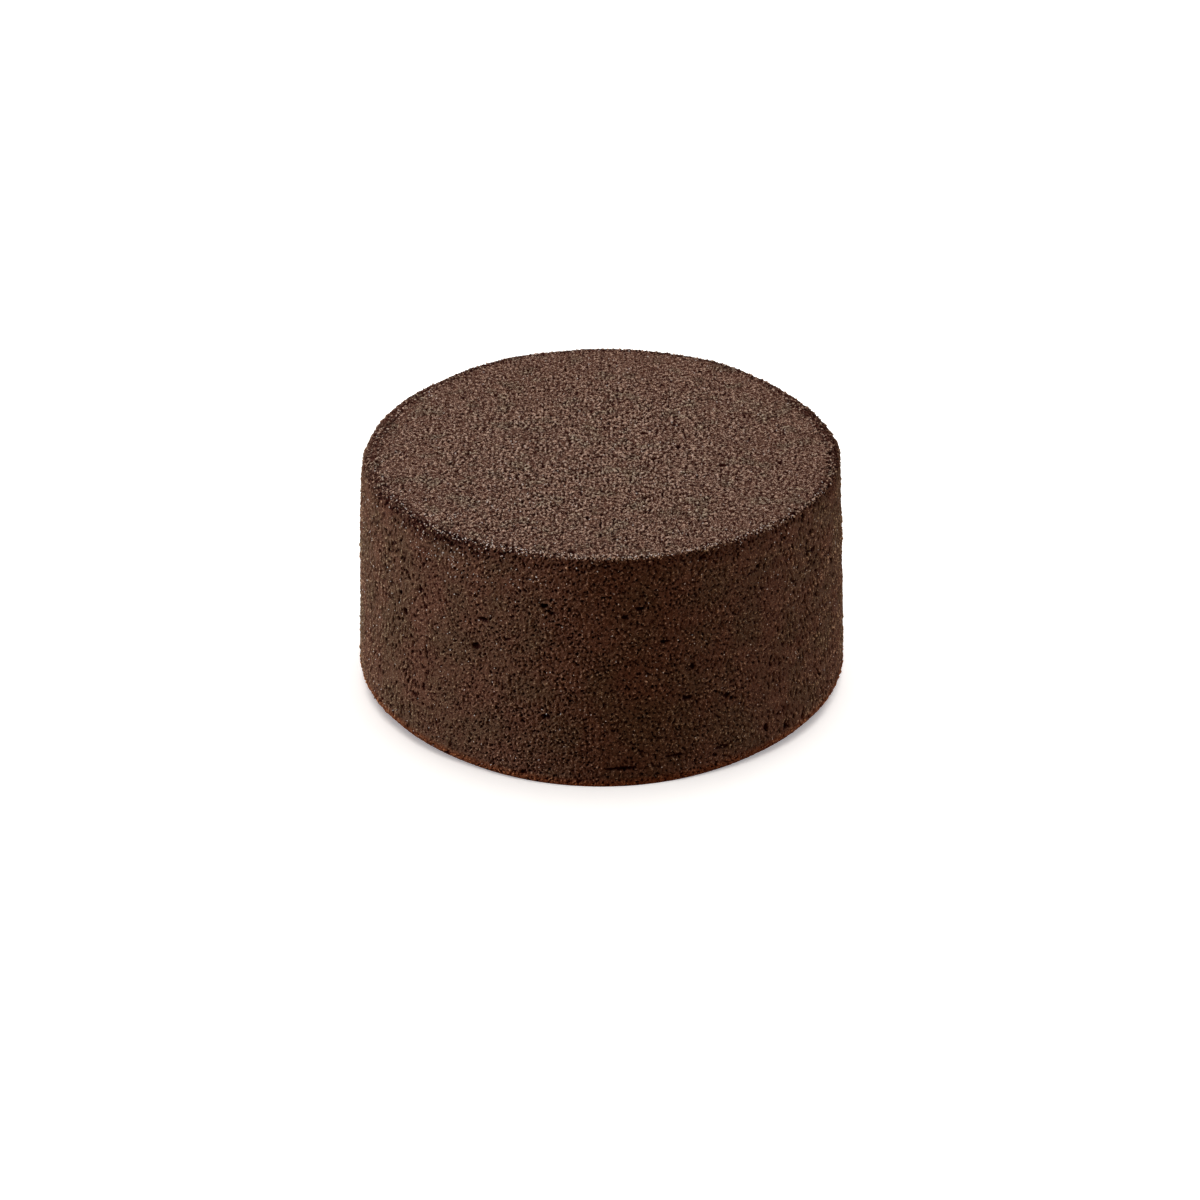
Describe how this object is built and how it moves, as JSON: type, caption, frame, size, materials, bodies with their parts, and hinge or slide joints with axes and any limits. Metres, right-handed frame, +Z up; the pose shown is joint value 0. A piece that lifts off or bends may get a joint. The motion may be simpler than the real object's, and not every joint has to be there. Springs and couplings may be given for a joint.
{
  "type": "chocolate mud cake",
  "caption": "Whole round chocolate mud cake, tall and straight-sided, with bare moist crumb, a pitted wall and a crumbling rim.",
  "frame": {"origin": "middle of the cake's flat underside", "axes": "+Z up through the top; -Y towards the front that the picture shows; +X to the right of that view"},
  "size_m": [0.2022, 0.204, 0.1014],
  "materials": {
    "chocolate_crumb": "moist, close baked chocolate crumb with fine pores and a low sheen"
  },
  "bodies": {
    "root": {"cake": "chocolate_crumb"}
  },
  "joints": []
}
